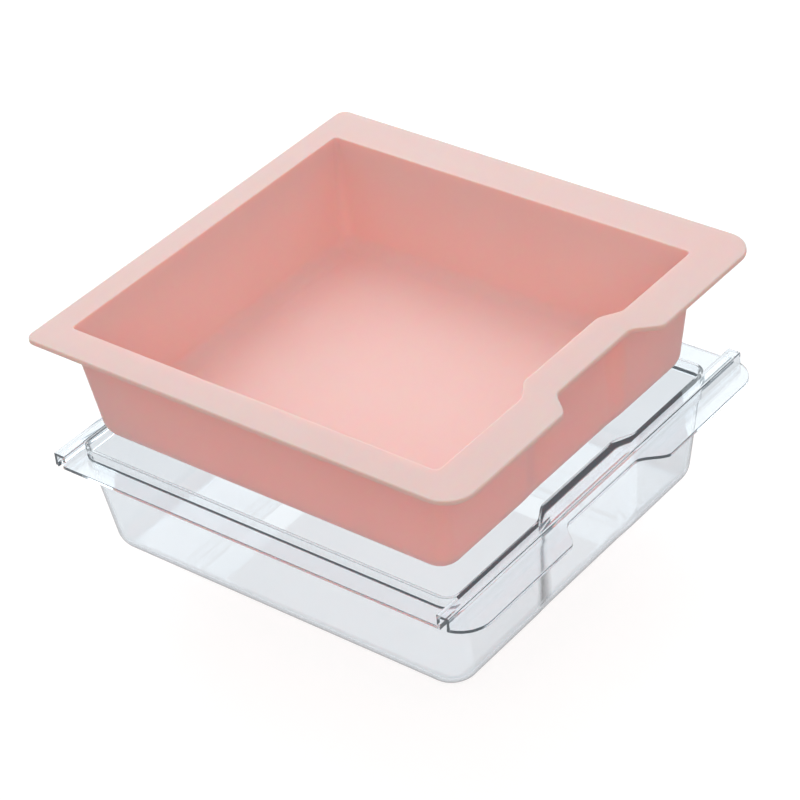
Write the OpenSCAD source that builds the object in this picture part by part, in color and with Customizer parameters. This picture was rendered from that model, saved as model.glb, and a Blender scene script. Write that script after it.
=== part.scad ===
// A soap slab mould: a soft silicone liner with a wide flange, and the rigid clear tray
// that it hangs in. The liner is drawn lifted straight up out of the tray.
// X runs along the front edge, Y runs to the back, and the grip notch is on the +X side.
// Z = 0 is the surface that the tray stands on.

/* [Liner] */
// Length of the liner's flange along X
flange_x = 250; // [235:1:270]
// Width of the liner's flange along Y
flange_y = 238; // [225:1:255]
// Thickness of the liner's flange
flange_t = 2.8; // [2:0.1:4]
// Thickness of the liner's walls
wall_t = 2.6; // [2:0.1:3.5]
// Thickness of the liner's floor
floor_t = 3; // [2:0.1:4]
// Flange width on the left side
rim_left = 14; // [12:0.5:18]
// Flange width on the notched right side
rim_right = 23; // [21:0.5:27]
// Flange width along the front
rim_front = 18; // [16:0.5:24]
// Flange width along the back
rim_back = 23.5; // [16:0.5:28]
// How far each wall leans in from the rim to the base
draft = 5; // [2:0.5:8]
// Rounding under the liner's outer bottom edge
liner_round = 9.5; // [6:0.5:12]
// Rounding where the liner's inner walls meet its floor
cavity_round = 8; // [4:0.5:10]

/* [Tray] */
// Height of the tray's flange above the table
tray_h = 57; // [48:1:70]
// Height of the lip that stands up from the tray's flange
lip_h = 6; // [4:0.5:8]
// Thickness of the tray's walls, floor and flange
tray_t = 1.8; // [1.4:0.1:2.5]
// Gap between the liner and the tray all round
nest_gap = 0.9; // [0.6:0.1:1.5]
// Rounding under the tray's outer bottom edge
tray_round = 10.5; // [7:0.5:13]
// Width of the rail along each side of the tray
rail_w = 7; // [6:0.5:8]

/* [Grip notch] */
// Half the length of the straight part of the notch
notch_half = 27; // [20:1:35]
// Length of the curved run at each end of the notch
notch_run = 14; // [10:1:18]
// Depth of the notch in the outer edge of the liner's flange
notch_out = 11.5; // [8:0.5:13]
// Depth of the notch in the outer edge of the tray's flange
tray_notch = 11; // [8:0.5:11]
// Depth of the matching step in the liner's mouth
notch_in = 6.5; // [3:0.5:8]
// How much shallower the step in the tray's mouth is, so that the liner passes it
notch_play = 1; // [1:0.5:3]

/* [Pose] */
// Height that the liner is held above its seat in the tray
lift = 64; // [64:1:120]

/* [Hidden] */

CORNER_STEPS = 8;
RUN_STEPS = 8;
FILLET_STEPS = 6;

// Heights, measured with the liner seated in the tray
rim_z = tray_h + lip_h;
seat_gap = 0.3;
seat_z = rim_z + seat_gap;
base_z = tray_t + nest_gap;

// Plan of the liner's outer body at the height of the tray's rim
body_x0 = -flange_x / 2 + rim_left - wall_t;
body_x1 = flange_x / 2 - rim_right + wall_t;
body_y0 = -flange_y / 2 + rim_front - wall_t;
body_y1 = flange_y / 2 - rim_back + wall_t;
body_corner = 5;
corner_growth = 7;

// Plan of the flanges
LINER_CORNERS = [5, 15];
TRAY_CORNERS = [6, 16];
rail_edge = 0.5;
rail_x0 = body_x0 - nest_gap - tray_t / 2 - rail_w;
rail_x1 = body_x1 + nest_gap + tray_t / 2 + rail_w;
tray_x0 = -flange_x / 2;
tray_x1 = flange_x / 2;
tray_y0 = -flange_y / 2 + 2;
tray_y1 = flange_y / 2;
ear_step = rail_x0 - tray_x0 - rail_edge;
ear_y = 20;
ear_run = 7;

// Depth of the step in the tray's mouth, never more than lets the liner's base pass
tray_in = min(notch_in - notch_play, draft + nest_gap - 0.3);
// The front and back of the lip stand a little lower than the rails
lip_drop = 0.4;
rail_foot = 1;
rail_skin = 1.6;

// A smooth step from 0 to 1
function ease(t) = t * t * (3 - 2 * t);

// Quarter circle of points round a corner, starting at the given direction
function corner(x, y, r, from) = [
    for (i = [0:CORNER_STEPS])
        let (a = from + 90 * i / CORNER_STEPS)
        [x + r * cos(a), y + r * sin(a)]
];

// One end of a notch: y runs outwards from the notch's straight part
function notch_end(x, half, run, depth, toward) = [
    for (i = [0:RUN_STEPS])
        let (t = i / RUN_STEPS)
        [x - depth * (1 - ease(t)), toward * (half + run * t)]
];

function reversed(list) = [for (i = [len(list) - 1:-1:0]) list[i]];

// A notch in a side at x, in order of rising y
function notch(x, half, run, depth) = concat(
    reversed(notch_end(x, half, run, depth, -1)),
    notch_end(x, half, run, depth, 1)
);

// Closed outline, counter-clockwise from the front right corner.
// box is [x0, x1, y0, y1], radii is [left, right],
// right and left are [half length, run, depth] of the notch in that side.
function outline(box, radii, right, left) = concat(
    corner(box[1] - radii[1], box[2] + radii[1], radii[1], -90),
    notch(box[1], right[0], right[1], right[2]),
    corner(box[1] - radii[1], box[3] - radii[1], radii[1], 0),
    corner(box[0] + radii[0], box[3] - radii[0], radii[0], 90),
    reversed(notch(box[0], left[0], left[1], -left[2])),
    corner(box[0] + radii[0], box[2] + radii[0], radii[0], 180)
);

function at_height(points, z) = [for (p = points) [p[0], p[1], z]];

// Outline of the liner's outer body at height z, moved outwards by grow.
// The step in the mouth is deep at the rim and fades out evenly towards the base,
// so that no part of the body is wider than the mouth above it.
function body_ring(grow, z, deep) =
    let (
        down = (rim_z - z) / rim_z,
        inset = draft * down - grow,
        r = max(body_corner + corner_growth * max(down, 0) + grow, 0.6),
        step = deep * z / rim_z,
        box = [body_x0 + inset, body_x1 - inset, body_y0 + inset, body_y1 - inset]
    )
    at_height(outline(box, [r, r], [notch_half, notch_run, step], [notch_half, notch_run, 0]), z);

// Rings up the rounding between a floor at height z and a wall
function fillet_rings(grow, z, r, deep) = [
    for (i = [0:FILLET_STEPS])
        let (a = 90 * i / FILLET_STEPS)
        body_ring(grow - r * (1 - sin(a)), z + r * (1 - cos(a)), deep)
];

function raised(rings, h) = [
    for (ring = rings) [for (p = ring) [p[0], p[1], p[2] + h]]
];

// Closed skin over a list of rings, from the floor inside to the base outside
module skin(rings) {
    n = len(rings[0]);
    last = (len(rings) - 1) * n;
    walls = [
        for (k = [0:len(rings) - 2], i = [0:n - 1])
            let (a = k * n + i, b = k * n + (i + 1) % n)
            each [[a, b, b + n], [a, b + n, a + n]]
    ];
    floor_cap = [for (i = [n - 1:-1:0]) i];
    base_cap = [for (i = [0:n - 1]) last + i];
    polyhedron(points = [for (ring = rings) each ring], faces = concat([floor_cap], walls, [base_cap]));
}

module silicone_liner() {
    box = [-flange_x / 2, flange_x / 2, -flange_y / 2, flange_y / 2];
    edge = outline(
        box, LINER_CORNERS, [notch_half, notch_run, notch_out], [notch_half, notch_run, 0]
    );
    top = seat_z + flange_t;
    color([0.93, 0.74, 0.71])
    skin(raised(concat(
        fillet_rings(-wall_t, base_z + floor_t, cavity_round, notch_in),
        [
            body_ring(-wall_t, top, notch_in),
            at_height(edge, top),
            at_height(edge, seat_z),
            body_ring(0, seat_z, notch_in)
        ],
        reversed(fillet_rings(0, base_z, liner_round, notch_in))
    ), lift));
}

// The tray's floor and walls, which stand up past the flange as a lip
module tray_cup() {
    outside = nest_gap + tray_t;
    lip_z = rim_z - lip_drop;
    skin(concat(
        fillet_rings(nest_gap, tray_t, tray_round - tray_t, tray_in),
        [body_ring(nest_gap, lip_z, tray_in), body_ring(outside, lip_z, tray_in)],
        reversed(fillet_rings(outside, 0, tray_round, tray_in))
    ));
}

// A flat plate round the cup, with its inner edge inside the cup's wall.
// Its left edge steps in between two small ears at the corners.
module tray_flange() {
    box = [tray_x0, tray_x1, tray_y0, tray_y1];
    ears = [tray_y1 - ear_y - ear_run, ear_run, ear_step];
    middle = tray_h - tray_t / 2;
    translate([0, 0, tray_h - tray_t])
    linear_extrude(tray_t)
    difference() {
        polygon(outline(box, TRAY_CORNERS, [notch_half, notch_run, tray_notch], ears));
        polygon([for (p = body_ring(nest_gap + tray_t / 2, middle, tray_in)) [p[0], p[1]]]);
    }
}

// Flat-topped rails along both sides, from the front edge to the back edge.
// The right one widens inwards to meet the step in the mouth.
module rails() {
    y0 = tray_y0 + rail_edge;
    y1 = tray_y1 - rail_edge;
    inner = body_x1 + nest_gap + tray_t / 2;
    translate([0, 0, tray_h - rail_foot])
    linear_extrude(lip_h + rail_foot)
    polygon(concat(
        [[rail_x1, y1], [inner, y1]],
        reversed(notch(inner, notch_half, notch_run, tray_in)),
        [[inner, y0], [rail_x1, y0]]
    ));
    translate([rail_x0, y0, tray_h - rail_foot])
    cube([rail_w, y1 - y0, lip_h + rail_foot]);
}

// Each rail is hollow underneath, open below and at both ends
module rail_hollows() {
    w = rail_w - rail_skin - tray_t;
    for (x = [rail_x0 + rail_skin, rail_x1 - rail_skin - w])
        translate([x, tray_y0 - 1, tray_h - tray_t - 1])
        cube([w, tray_y1 - tray_y0 + 2, lip_h + tray_t + 1 - rail_skin]);
}

module clear_tray() {
    color([0.80, 0.86, 0.90, 0.45])
    difference() {
        union() {
            tray_cup();
            tray_flange();
            rails();
        }
        rail_hollows();
    }
}

clear_tray();
silicone_liner();
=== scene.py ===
"""A soap slab mould: a soft silicone liner lifted out of the rigid clear tray that it seats in."""

import math

import bmesh
import bpy
from mathutils import Matrix, Vector


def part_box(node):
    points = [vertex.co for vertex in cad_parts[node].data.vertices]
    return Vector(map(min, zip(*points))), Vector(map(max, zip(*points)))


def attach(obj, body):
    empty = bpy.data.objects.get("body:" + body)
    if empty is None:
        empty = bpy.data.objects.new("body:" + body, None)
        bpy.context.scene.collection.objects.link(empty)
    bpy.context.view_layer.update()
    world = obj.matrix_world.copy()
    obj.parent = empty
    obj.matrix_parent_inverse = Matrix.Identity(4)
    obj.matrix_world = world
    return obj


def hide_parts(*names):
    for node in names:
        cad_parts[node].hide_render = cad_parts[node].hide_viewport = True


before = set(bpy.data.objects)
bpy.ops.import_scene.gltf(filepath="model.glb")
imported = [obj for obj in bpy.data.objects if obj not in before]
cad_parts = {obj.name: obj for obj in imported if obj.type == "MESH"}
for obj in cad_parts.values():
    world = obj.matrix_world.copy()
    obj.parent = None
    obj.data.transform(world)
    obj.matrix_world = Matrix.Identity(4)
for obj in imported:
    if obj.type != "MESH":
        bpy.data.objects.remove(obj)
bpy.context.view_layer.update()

MM = 0.001

# ---------------------------------------------------------------- driving sizes

LINER_LOW, LINER_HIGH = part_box("silicone_liner")
TRAY_LOW, TRAY_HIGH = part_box("clear_tray")

FLANGE = 2.8 * MM  # the liner's flange
LINER_WALL = 2.6 * MM
LINER_FLOOR = 3.0 * MM
RIM_LEFT = 14 * MM
RIM_RIGHT = 23 * MM
RIM_FRONT = 18 * MM
RIM_BACK = 23.5 * MM
DRAFT = 5 * MM  # how far a wall leans in over its height
LINER_ROUND = 9.5 * MM
CAVITY_ROUND = 8 * MM

TRAY_WALL = 1.8 * MM
LIP = 6 * MM
LIP_DROP = 0.4 * MM
NEST_GAP = 0.9 * MM
SEAT_GAP = 0.3 * MM
TRAY_ROUND = 10.5 * MM
RAIL_WIDTH = 7 * MM
RAIL_FOOT = 1 * MM
RAIL_SKIN = 1.6 * MM
RAIL_EDGE = 0.5 * MM

NOTCH_HALF = 27 * MM
NOTCH_RUN = 14 * MM
NOTCH_OUT = 11.5 * MM
TRAY_NOTCH = 11 * MM
NOTCH_IN = 6.5 * MM  # step in the liner's mouth
TRAY_IN = 5.5 * MM  # step in the tray's mouth, shallower so that the liner passes it

RIM_Z = TRAY_HIGH.z
TRAY_FLANGE_Z = RIM_Z - LIP
LIFT = LINER_HIGH.z - (RIM_Z + SEAT_GAP + FLANGE)

BODY = (
    LINER_LOW.x + RIM_LEFT - LINER_WALL,
    LINER_HIGH.x - RIM_RIGHT + LINER_WALL,
    LINER_LOW.y + RIM_FRONT - LINER_WALL,
    LINER_HIGH.y - RIM_BACK + LINER_WALL,
)
BODY_CORNER = 5 * MM  # radius of the body's upright corners at the rim
CORNER_GROWTH = 7 * MM  # how much rounder they are at the base
LEAST_CORNER = 0.6 * MM
LINER_CORNERS = (5 * MM, 15 * MM)  # radii of a flange's left and right corners
TRAY_CORNERS = (6 * MM, 16 * MM)
RAIL_LEFT = BODY[0] - NEST_GAP - TRAY_WALL / 2 - RAIL_WIDTH
RAIL_RIGHT = BODY[1] + NEST_GAP + TRAY_WALL / 2
EAR_LENGTH = 20 * MM
EAR_RUN = 7 * MM
EAR_STEP = RAIL_LEFT - TRAY_LOW.x - RAIL_EDGE
NO_NOTCH = (NOTCH_HALF, NOTCH_RUN, 0)

# Small radii that break the moulded edges
MOUTH_EDGE = 0.7 * MM
FLANGE_EDGE = 0.9 * MM
UNDER_FLANGE_EDGE = 1.6 * MM
LIP_EDGE = 0.5 * MM
LIP_FOOT_EDGE = 0.8 * MM
TRAY_EDGE = 0.5 * MM
UNDER_TRAY_EDGE = 1.2 * MM
RAIL_ROUND = 0.6 * MM

CORNER_STEPS = 14
RUN_STEPS = 16
FILLET_STEPS = 12
EDGE_STEPS = 5
MOST_OF_SPAN = 0.45  # a rounded edge takes at most this share of the faces beside it
OVERCUT = 1 * MM  # how far a cutting tool reaches past what it cuts
WELD = 0.004 * MM  # points closer than this are one
FLAT_WEIGHT = 80  # pull of the broad faces on the shading, from 1 to 100
SHARP_ANGLE = math.radians(35)


# ---------------------------------------------------------------- outlines

def ease(t):
    """A smooth step from 0 to 1."""
    return t * t * (3 - 2 * t)


def corner(x, y, radius, start):
    """A quarter circle of points round a corner."""
    turns = [math.radians(start + 90 * i / CORNER_STEPS) for i in range(CORNER_STEPS + 1)]
    return [(x + radius * math.cos(a), y + radius * math.sin(a)) for a in turns]


def notch(x, half, run, depth):
    """A notch in the side at x, in order of rising y."""
    steps = [i / RUN_STEPS for i in range(RUN_STEPS + 1)]
    end = [(x - depth * (1 - ease(t)), half + run * t) for t in steps]
    return [(px, -py) for px, py in reversed(end)] + end


def outline(box, radii, right, left):
    """Closed outline, counter-clockwise from the front right corner.

    radii are those of the left and right corners, and right and left are the notches in
    those sides, each as (half length, run, depth).
    """
    x0, x1, y0, y1 = box
    r0, r1 = radii
    left_notch = notch(x0, left[0], left[1], -left[2])
    return (
        corner(x1 - r1, y0 + r1, r1, -90)
        + notch(x1, *right)
        + corner(x1 - r1, y1 - r1, r1, 0)
        + corner(x0 + r0, y1 - r0, r0, 90)
        + left_notch[::-1]
        + corner(x0 + r0, y0 + r0, r0, 180)
    )


def ring_at(points, z):
    """An outline as a ring of points at height z."""
    return [Vector((x, y, z)) for x, y in points]


def body_ring(grow, z, deep):
    """Outline of the seated liner's outer body at height z, moved outwards by grow.

    deep is the step in the mouth at the rim. It fades out evenly towards the base.
    """
    down = (RIM_Z - z) / RIM_Z
    inset = DRAFT * down - grow
    radius = max(BODY_CORNER + CORNER_GROWTH * max(down, 0) + grow, LEAST_CORNER)
    step = deep * z / RIM_Z
    box = (BODY[0] + inset, BODY[1] - inset, BODY[2] + inset, BODY[3] - inset)
    return ring_at(outline(box, (radius, radius), (NOTCH_HALF, NOTCH_RUN, step), NO_NOTCH), z)


def fillet_rings(grow, z, radius, deep):
    """Rings up the rounding between a floor at height z and a wall."""
    turns = [math.radians(90 * i / FILLET_STEPS) for i in range(FILLET_STEPS + 1)]
    return [
        body_ring(grow - radius * (1 - math.sin(a)), z + radius * (1 - math.cos(a)), deep)
        for a in turns
    ]


# ---------------------------------------------------------------- mesh making

def towards(p, q, radius):
    """The point that lies radius from p on the way to q."""
    return p + (q - p).normalized() * min(radius, (q - p).length * MOST_OF_SPAN)


def rounded(before, ring, after, radius):
    """Rings that round off the edge at ring, between the rings on either side of it."""
    rings = []
    for k in range(EDGE_STEPS + 1):
        t = k / EDGE_STEPS
        row = []
        for a, p, b in zip(before, ring, after):
            start = towards(p, a, radius)
            end = towards(p, b, radius)
            row.append(start * (1 - t) ** 2 + p * (2 * t * (1 - t)) + end * t ** 2)
        rings.append(row)
    return rings


def soften(stations):
    """stations is a list of (ring, rounding radius). Rings with a radius become rounded edges."""
    rings = [ring for ring, _ in stations]
    out = []
    for k, (ring, radius) in enumerate(stations):
        if radius:
            out += rounded(rings[k - 1], ring, rings[k + 1], radius)
        else:
            out.append(ring)
    return out


def add_piece(name, verts, faces):
    """A smooth-shaded object made of these points and faces."""
    mesh = bpy.data.meshes.new(name)
    mesh.from_pydata(verts, [], faces)
    mesh.update()
    mesh.shade_smooth()
    piece = bpy.data.objects.new(name, mesh)
    bpy.context.scene.collection.objects.link(piece)
    return piece


def skin(name, rings):
    """A closed skin over a list of rings, capped at both ends."""
    n = len(rings[0])
    verts = [p for ring in rings for p in ring]
    faces = [
        (k * n + i, (k + 1) * n + i, (k + 1) * n + (i + 1) % n, k * n + (i + 1) % n)
        for k in range(len(rings) - 1)
        for i in range(n)
    ]
    last = (len(rings) - 1) * n
    faces.append(tuple(range(n)))
    faces.append(tuple(last + i for i in reversed(range(n))))
    return add_piece(name, verts, faces)


def facing_out(piece):
    """Turns every face of a closed piece outwards."""
    work = bmesh.new()
    work.from_mesh(piece.data)
    bmesh.ops.recalc_face_normals(work, faces=work.faces)
    work.to_mesh(piece.data)
    work.free()
    return piece


def weld(piece):
    """Joins the points that the booleans leave almost on top of each other, and drops strays."""
    work = bmesh.new()
    work.from_mesh(piece.data)
    bmesh.ops.remove_doubles(work, verts=work.verts, dist=WELD)
    bmesh.ops.dissolve_degenerate(work, edges=work.edges, dist=WELD)
    bmesh.ops.delete(work, geom=[e for e in work.edges if not e.link_faces], context="EDGES")
    bmesh.ops.delete(work, geom=[v for v in work.verts if not v.link_faces], context="VERTS")
    work.to_mesh(piece.data)
    work.free()


def flat_first(piece):
    """Lets broad flat faces set the shading of the narrow rounded edges beside them."""
    weighted = piece.modifiers.new("flat_first", "WEIGHTED_NORMAL")
    weighted.keep_sharp = True
    weighted.weight = FLAT_WEIGHT
    return piece


def boolean(piece, tool, operation):
    """Joins the tool to the piece or cuts it away, and removes the tool."""
    step = piece.modifiers.new(operation, "BOOLEAN")
    step.operation = operation
    step.solver = "MANIFOLD"
    step.object = tool
    evaluated = piece.evaluated_get(bpy.context.evaluated_depsgraph_get())
    mesh = bpy.data.meshes.new_from_object(evaluated)
    piece.modifiers.clear()
    old = piece.data
    piece.data = mesh
    bpy.data.meshes.remove(old)
    bpy.data.objects.remove(tool)


# ---------------------------------------------------------------- the silicone liner

def liner_stations():
    """The seated liner from its floor inside, over the flange, to its base outside."""
    box = (LINER_LOW.x, LINER_HIGH.x, LINER_LOW.y, LINER_HIGH.y)
    edge = outline(box, LINER_CORNERS, (NOTCH_HALF, NOTCH_RUN, NOTCH_OUT), NO_NOTCH)
    seat = RIM_Z + SEAT_GAP
    top = seat + FLANGE
    base = TRAY_WALL + NEST_GAP
    inside = fillet_rings(-LINER_WALL, base + LINER_FLOOR, CAVITY_ROUND, NOTCH_IN)
    outside = fillet_rings(0, base, LINER_ROUND, NOTCH_IN)[::-1]
    return (
        [(ring, 0) for ring in inside]
        + [
            (body_ring(-LINER_WALL, top, NOTCH_IN), MOUTH_EDGE),
            (ring_at(edge, top), FLANGE_EDGE),
            (ring_at(edge, seat), FLANGE_EDGE),
            (body_ring(0, seat, NOTCH_IN), UNDER_FLANGE_EDGE),
        ]
        + [(ring, 0) for ring in outside]
    )


def make_liner():
    """The liner, held up above its seat in the tray."""
    raise_by = Vector((0, 0, LIFT))
    rings = [[p + raise_by for p in ring] for ring in soften(liner_stations())]
    piece = flat_first(facing_out(skin("liner_moulding", rings)))
    piece.data.materials.append(pink_silicone())
    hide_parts("silicone_liner")
    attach(piece, "liner")


# ---------------------------------------------------------------- the clear tray

def cup():
    """The tray's floor and walls, with the standing lip and the flange."""
    outside = NEST_GAP + TRAY_WALL
    lip_z = RIM_Z - LIP_DROP
    inner = fillet_rings(NEST_GAP, TRAY_WALL, TRAY_ROUND - TRAY_WALL, TRAY_IN)
    outer = fillet_rings(outside, 0, TRAY_ROUND, TRAY_IN)[::-1]
    box = (TRAY_LOW.x, TRAY_HIGH.x, TRAY_LOW.y, TRAY_HIGH.y)
    ears = (TRAY_HIGH.y - EAR_LENGTH - EAR_RUN, EAR_RUN, EAR_STEP)
    edge = outline(box, TRAY_CORNERS, (NOTCH_HALF, NOTCH_RUN, TRAY_NOTCH), ears)
    under = TRAY_FLANGE_Z - TRAY_WALL
    return soften(
        [(ring, 0) for ring in inner]
        + [
            (body_ring(NEST_GAP, lip_z, TRAY_IN), LIP_EDGE),
            (body_ring(outside, lip_z, TRAY_IN), LIP_EDGE),
            (body_ring(outside, TRAY_FLANGE_Z, TRAY_IN), LIP_FOOT_EDGE),
            (ring_at(edge, TRAY_FLANGE_Z), TRAY_EDGE),
            (ring_at(edge, under), TRAY_EDGE),
            (body_ring(outside, under, TRAY_IN), UNDER_TRAY_EDGE),
        ]
        + [(ring, 0) for ring in outer]
    )


def rail_section(y, x_in, x_out):
    """Cross-section of a rail: a bar with its two top edges rounded."""
    low = TRAY_FLANGE_Z - RAIL_FOOT
    r = RAIL_ROUND
    turns = [math.radians(90 * i / EDGE_STEPS) for i in range(EDGE_STEPS + 1)]
    outer = [(x_out - r + r * math.cos(a), RIM_Z - r + r * math.sin(a)) for a in turns]
    inner = [(x_in + r - r * math.sin(a), RIM_Z - r + r * math.cos(a)) for a in turns]
    return [Vector((x, y, z)) for x, z in [(x_out, low)] + outer + inner + [(x_in, low)]]


def rail(name, x_in, x_out, step):
    """A rail from the front edge to the back edge, stepping inwards at the mouth by step."""
    y0 = TRAY_LOW.y + RAIL_EDGE
    y1 = TRAY_HIGH.y - RAIL_EDGE
    run = [(x_in, y0)] + notch(x_in, NOTCH_HALF, NOTCH_RUN, step) + [(x_in, y1)]
    return facing_out(skin(name, [rail_section(y, x, x_out) for x, y in run]))


def hollow(name, x0, width):
    """The hollow under a rail, open below and at both ends."""
    low = TRAY_FLANGE_Z - TRAY_WALL - OVERCUT
    high = RIM_Z - RAIL_SKIN
    corners = [(x0, low), (x0 + width, low), (x0 + width, high), (x0, high)]
    ends = (TRAY_LOW.y - OVERCUT, TRAY_HIGH.y + OVERCUT)
    return facing_out(skin(name, [[Vector((x, y, z)) for x, z in corners] for y in ends]))


def make_tray():
    """The tray: its cup and flange, joined to the two rails, which are then hollowed."""
    piece = facing_out(skin("tray_moulding", cup()))
    boolean(piece, rail("right_rail", RAIL_RIGHT, RAIL_RIGHT + RAIL_WIDTH, TRAY_IN), "UNION")
    boolean(piece, rail("left_rail", RAIL_LEFT, RAIL_LEFT + RAIL_WIDTH, 0), "UNION")
    width = RAIL_WIDTH - RAIL_SKIN - TRAY_WALL
    for x0 in (RAIL_LEFT + RAIL_SKIN, RAIL_RIGHT + RAIL_WIDTH - RAIL_SKIN - width):
        boolean(piece, hollow("rail_hollow", x0, width), "DIFFERENCE")
    weld(piece)
    piece.data.shade_smooth()
    piece.data.set_sharp_from_angle(angle=SHARP_ANGLE)
    flat_first(piece)
    piece.data.materials.clear()
    piece.data.materials.append(clear_plastic())
    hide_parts("clear_tray")
    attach(piece, "tray")


# ---------------------------------------------------------------- finishes

SILICONE_PINK = (0.965, 0.585, 0.55)
SILICONE_PALE = (0.98, 0.61, 0.575)
SILICONE_ROUGHNESS = (0.56, 0.68)
SILICONE_SCALES = (14, 1800)  # of its drift and its grain, in cycles per metre
SILICONE_BUMP = (0.12, 0.1 * MM)
SILICONE_SOAK = 10 * MM  # how far red light travels inside
PLASTIC_TINT = (0.44, 0.515, 0.57)
PLASTIC_PALE = (0.47, 0.545, 0.60)
# near-black edge-on tone: partly the plastic's thickness, partly painted shade on its rims
PLASTIC_EDGE_THICKNESS_AND_SHADE = (0.03, 0.036, 0.044)
PLASTIC_BEHIND = (0.97, 0.975, 0.98)  # tint of each surface after the first one
PLASTIC_ROUGHNESS = (0.02, 0.06)
PLASTIC_SCALES = (9, 60)
PLASTIC_BUMP = (0.05, 0.2 * MM)
# painted grey glow that the plastic gives off after many bounces
PAINTED_GLOW_GREY = (0.055, 0.062, 0.068)
LAMPLIGHT_THROUGH = (0.93, 0.95, 0.97)
TABLE_GREY = (0.30, 0.27, 0.26)
BLACK = (0, 0, 0)
WHITE = (1, 1, 1)

NOISE_SPREAD = (0.3, 0.7)  # the range that a noise keeps to for the most part
EDGE_ON = (0.52, 0.8)  # how far a surface turns away as the plastic darkens, partly from its thickness and partly as painted shade
PAINTED_GLOW_AFTER = (3, 6)  # bounces after which the plastic starts its painted grey glow
TABLE_GLOW = 0.82
TABLE_GLOW_ON_MATT = 0.08


def set_plain(node, **values):
    """Sets sockets that are the same all over a surface. Spaces in their names are underscores."""
    for name, value in values.items():
        node.inputs[name.replace("_", " ")].default_value = value


def new_group(name, inputs, outputs):
    """A shader node group with number inputs and number or colour outputs."""
    group = bpy.data.node_groups.new(name, "ShaderNodeTree")
    for label, value in inputs:
        kind = "NodeSocketFloat"
        socket = group.interface.new_socket(name=label, in_out="INPUT", socket_type=kind)
        socket.default_value = value
    for label, kind in outputs:
        group.interface.new_socket(name=label, in_out="OUTPUT", socket_type=kind)
    return group, group.nodes.new("NodeGroupInput"), group.nodes.new("NodeGroupOutput")


def moulded_surface():
    """Slow drifts of tone and gloss and a fine bump, as a moulded surface has."""
    name = "moulded surface"
    if name in bpy.data.node_groups:
        return bpy.data.node_groups[name]
    group, given, result = new_group(
        name,
        [("Drift Scale", SILICONE_SCALES[0]), ("Grain Scale", SILICONE_SCALES[1])],
        [("Drift", "NodeSocketFloat"), ("Grain", "NodeSocketFloat")],
    )
    place = group.nodes.new("ShaderNodeTexCoord")
    drift = group.nodes.new("ShaderNodeTexNoise")
    set_plain(drift, Detail=3, Roughness=0.55)
    grain = group.nodes.new("ShaderNodeTexNoise")
    set_plain(grain, Detail=2)
    for noise, scale in ((drift, "Drift Scale"), (grain, "Grain Scale")):
        group.links.new(place.outputs["Object"], noise.inputs["Vector"])
        group.links.new(given.outputs[scale], noise.inputs["Scale"])
    group.links.new(drift.outputs["Fac"], result.inputs["Drift"])
    group.links.new(grain.outputs["Fac"], result.inputs["Grain"])
    return group


def new_material(name):
    """A material with a Principled BSDF, and its nodes and links."""
    material = bpy.data.materials.new(name)
    material.use_nodes = True
    return material, material.node_tree.nodes, material.node_tree.links


def ranged(nodes, links, value, low, high, spread=NOISE_SPREAD):
    """A value that runs from low to high as the given one crosses its spread."""
    step = nodes.new("ShaderNodeMapRange")
    set_plain(step, From_Min=spread[0], From_Max=spread[1], To_Min=low, To_Max=high)
    links.new(value, step.inputs["Value"])
    return step.outputs["Result"]


def mixed(nodes, links, factor, first, second):
    """A colour that runs from first to second. Either is a plain colour or a node's output."""
    mix = nodes.new("ShaderNodeMix")
    mix.data_type = "RGBA"
    links.new(factor, mix.inputs["Factor"])
    for socket, colour in (("A", first), ("B", second)):
        if isinstance(colour, tuple):
            mix.inputs[socket].default_value = (*colour, 1)
        else:
            links.new(colour, mix.inputs[socket])
    return mix.outputs["Result"]


def place_surface(nodes, drift_scale, grain_scale):
    """The moulded surface's drift and grain, at this material's own scales."""
    surface = nodes.new("ShaderNodeGroup")
    surface.node_tree = moulded_surface()
    set_plain(surface, Drift_Scale=drift_scale, Grain_Scale=grain_scale)
    return surface.outputs["Drift"], surface.outputs["Grain"]


def fine_bump(nodes, links, grain, shader, strength, depth):
    """A fine bump from the grain."""
    bump = nodes.new("ShaderNodeBump")
    set_plain(bump, Strength=strength, Distance=depth)
    links.new(grain, bump.inputs["Height"])
    links.new(bump.outputs["Normal"], shader.inputs["Normal"])


def pink_silicone():
    """Soft matt silicone that light soaks into."""
    material, nodes, links = new_material("pink silicone")
    shader = nodes["Principled BSDF"]
    set_plain(
        shader,
        Subsurface_Weight=1.0,
        Subsurface_Radius=(1.0, 0.3, 0.2),
        Subsurface_Scale=SILICONE_SOAK,
        IOR=1.41,
        Specular_IOR_Level=0.25,
        Sheen_Weight=0.05,
        Sheen_Roughness=0.5,
    )
    drift, grain = place_surface(nodes, *SILICONE_SCALES)
    tone = mixed(nodes, links, ranged(nodes, links, drift, 0, 1), SILICONE_PINK, SILICONE_PALE)
    links.new(tone, shader.inputs["Base Color"])
    links.new(ranged(nodes, links, drift, *SILICONE_ROUGHNESS), shader.inputs["Roughness"])
    fine_bump(nodes, links, grain, shader, *SILICONE_BUMP)
    return material


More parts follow.
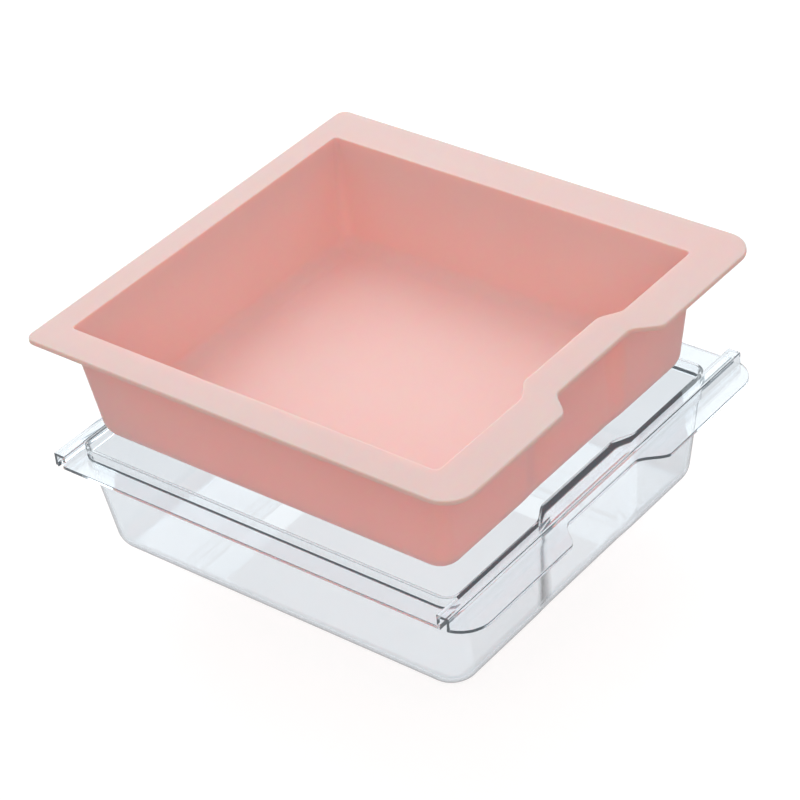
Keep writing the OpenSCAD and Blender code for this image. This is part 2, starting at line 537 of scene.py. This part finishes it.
def clear_plastic():
    """Clear, faintly blue-grey plastic, with painted shade on its edge-on rims and a painted grey
    glow where light bounces long inside it.
    """
    material, nodes, links = new_material("clear plastic")
    shader = nodes["Principled BSDF"]
    # the emission strength carries the painted grey glow set below
    set_plain(shader, Transmission_Weight=1, IOR=1.42, Emission_Strength=1)
    facing = nodes.new("ShaderNodeLayerWeight").outputs["Facing"]
    path = nodes.new("ShaderNodeLightPath")
    drift, grain = place_surface(nodes, *PLASTIC_SCALES)
    tone = mixed(nodes, links, ranged(nodes, links, drift, 0, 1), PLASTIC_TINT, PLASTIC_PALE)
    # Darker where the plastic is seen edge on: partly the longer path through its thickness,
    # partly painted shade standing in for the dim surroundings seen through its rims
    edge_shade = ranged(nodes, links, facing, 0, 1, EDGE_ON)
    tone = mixed(nodes, links, edge_shade, tone, PLASTIC_EDGE_THICKNESS_AND_SHADE)
    # Walls seen through walls stay nearly as pale as one, so only the first surface tints in full
    tone = mixed(nodes, links, path.outputs["Transmission Depth"], tone, PLASTIC_BEHIND)
    links.new(tone, shader.inputs["Base Color"])
    # Painted light: after a few bounces the plastic glows a soft grey, so paths cut off inside the
    # thin faces show grey, not black
    deep = ranged(nodes, links, path.outputs["Ray Depth"], 0, 1, PAINTED_GLOW_AFTER)
    links.new(mixed(nodes, links, deep, BLACK, PAINTED_GLOW_GREY), shader.inputs["Emission Color"])
    links.new(ranged(nodes, links, drift, *PLASTIC_ROUGHNESS), shader.inputs["Roughness"])
    fine_bump(nodes, links, grain, shader, *PLASTIC_BUMP)
    # Lamps shine through the plastic on to what is behind it
    through = nodes.new("ShaderNodeBsdfTransparent")
    set_plain(through, Color=(*LAMPLIGHT_THROUGH, 1))
    choice = nodes.new("ShaderNodeMixShader")
    links.new(path.outputs["Is Shadow Ray"], choice.inputs["Fac"])
    links.new(shader.outputs["BSDF"], choice.inputs[1])
    links.new(through.outputs["BSDF"], choice.inputs[2])
    links.new(choice.outputs["Shader"], nodes["Material Output"].inputs["Surface"])
    return material


def pale_table():
    """A matt table that glows like a light table, but lights matt surfaces less than it shows."""
    material, nodes, links = new_material("pale table")
    shader = nodes["Principled BSDF"]
    set_plain(
        shader, Roughness=0.9, Base_Color=(*TABLE_GREY, 1), Emission_Color=(*WHITE, 1)
    )
    path = nodes.new("ShaderNodeLightPath")
    matt = path.outputs["Is Diffuse Ray"]
    glow = ranged(nodes, links, matt, TABLE_GLOW, TABLE_GLOW_ON_MATT, (0, 1))
    links.new(glow, shader.inputs["Emission Strength"])
    return material


# ---------------------------------------------------------------- studio

TABLE_REACH = 6.0
LIGHTS_AIM = (0, 0, 0.08)
SOFTBOXES = [  # name, place, side in metres, watts and tint
    ("key softbox", (-0.9, 0.9, 1.5), 1.5, 18, (0.92, 0.98, 1.0)),
    ("warm fill", (1.1, -1.3, 1.3), 1.2, 6, (1.0, 0.82, 0.72)),
]
SKY_STRENGTH = 0.66
SKY_LOW = (0.26, 0.29, 0.32)
SKY_HIGH = (0.94, 0.98, 1.0)
SKY_HIGH_FROM = 0.45  # how high up the sky is at its brightest, from 0 at the horizon to 1
BACKDROP = (1.6, 1.6, 1.6)


def make_floor():
    r = TABLE_REACH
    floor = add_piece("table", [(-r, -r, 0), (r, -r, 0), (r, r, 0), (-r, r, 0)], [(0, 1, 2, 3)])
    floor.data.materials.append(pale_table())


def softbox(name, place, size, power, tint):
    """A square soft light that is aimed at the object."""
    light = bpy.data.lights.new(name, "AREA")
    light.color = tint
    light.shape = "SQUARE"
    light.size = size
    light.energy = power
    lamp = bpy.data.objects.new(name, light)
    lamp.location = place
    lamp.rotation_euler = (Vector(LIGHTS_AIM) - Vector(place)).to_track_quat("-Z", "Y").to_euler()
    bpy.context.scene.collection.objects.link(lamp)


def make_sky():
    """A pale sky that is dimmer low down, behind a white backdrop."""
    world = bpy.data.worlds.new("studio")
    world.use_nodes = True
    nodes, links = world.node_tree.nodes, world.node_tree.links
    sky = nodes["Background"]
    set_plain(sky, Strength=SKY_STRENGTH)
    place = nodes.new("ShaderNodeTexCoord")
    split = nodes.new("ShaderNodeSeparateXYZ")
    shade = nodes.new("ShaderNodeValToRGB")
    low, high = shade.color_ramp.elements
    low.position = 0.0
    low.color = (*SKY_LOW, 1)
    high.position = SKY_HIGH_FROM
    high.color = (*SKY_HIGH, 1)
    links.new(place.outputs["Generated"], split.inputs["Vector"])
    links.new(split.outputs["Z"], shade.inputs["Fac"])
    # The backdrop itself looks white, though it lights the object less from low down
    seen = nodes.new("ShaderNodeLightPath").outputs["Is Camera Ray"]
    links.new(mixed(nodes, links, seen, shade.outputs["Color"], BACKDROP), sky.inputs["Color"])
    bpy.context.scene.world = world
    bpy.context.scene.view_settings.view_transform = "Standard"


def make_lights():
    for values in SOFTBOXES:
        softbox(*values)
    make_sky()


# The camera looks from the front right, over the notch, slightly rolled
CAMERA_AZIMUTH = math.radians(41.2)
CAMERA_ELEVATION = math.radians(35.4)
CAMERA_ROLL = math.radians(-6.15)
CAMERA_DISTANCE = 1.396
CAMERA_AIM = Vector((0.018, -0.024, LINER_HIGH.z - 0.042))
CAMERA_LENS = 135
CAMERA_NEAR = 0.05


def make_camera():
    a, e = CAMERA_AZIMUTH, CAMERA_ELEVATION
    back = Vector((math.sin(a) * math.cos(e), -math.cos(a) * math.cos(e), math.sin(e)))
    right = Vector((math.cos(a), math.sin(a), 0))
    up = back.cross(right)
    turn = Matrix.Rotation(CAMERA_ROLL, 3, back)
    axes = Matrix((turn @ right, turn @ up, back)).transposed().to_4x4()
    data = bpy.data.cameras.new("camera")
    data.lens = CAMERA_LENS
    data.clip_start = CAMERA_NEAR
    camera = bpy.data.objects.new("camera", data)
    camera.matrix_world = Matrix.Translation(CAMERA_AIM + back * CAMERA_DISTANCE) @ axes
    bpy.context.scene.collection.objects.link(camera)
    bpy.context.scene.camera = camera


make_camera()
make_floor()
make_lights()
make_liner()
make_tray()
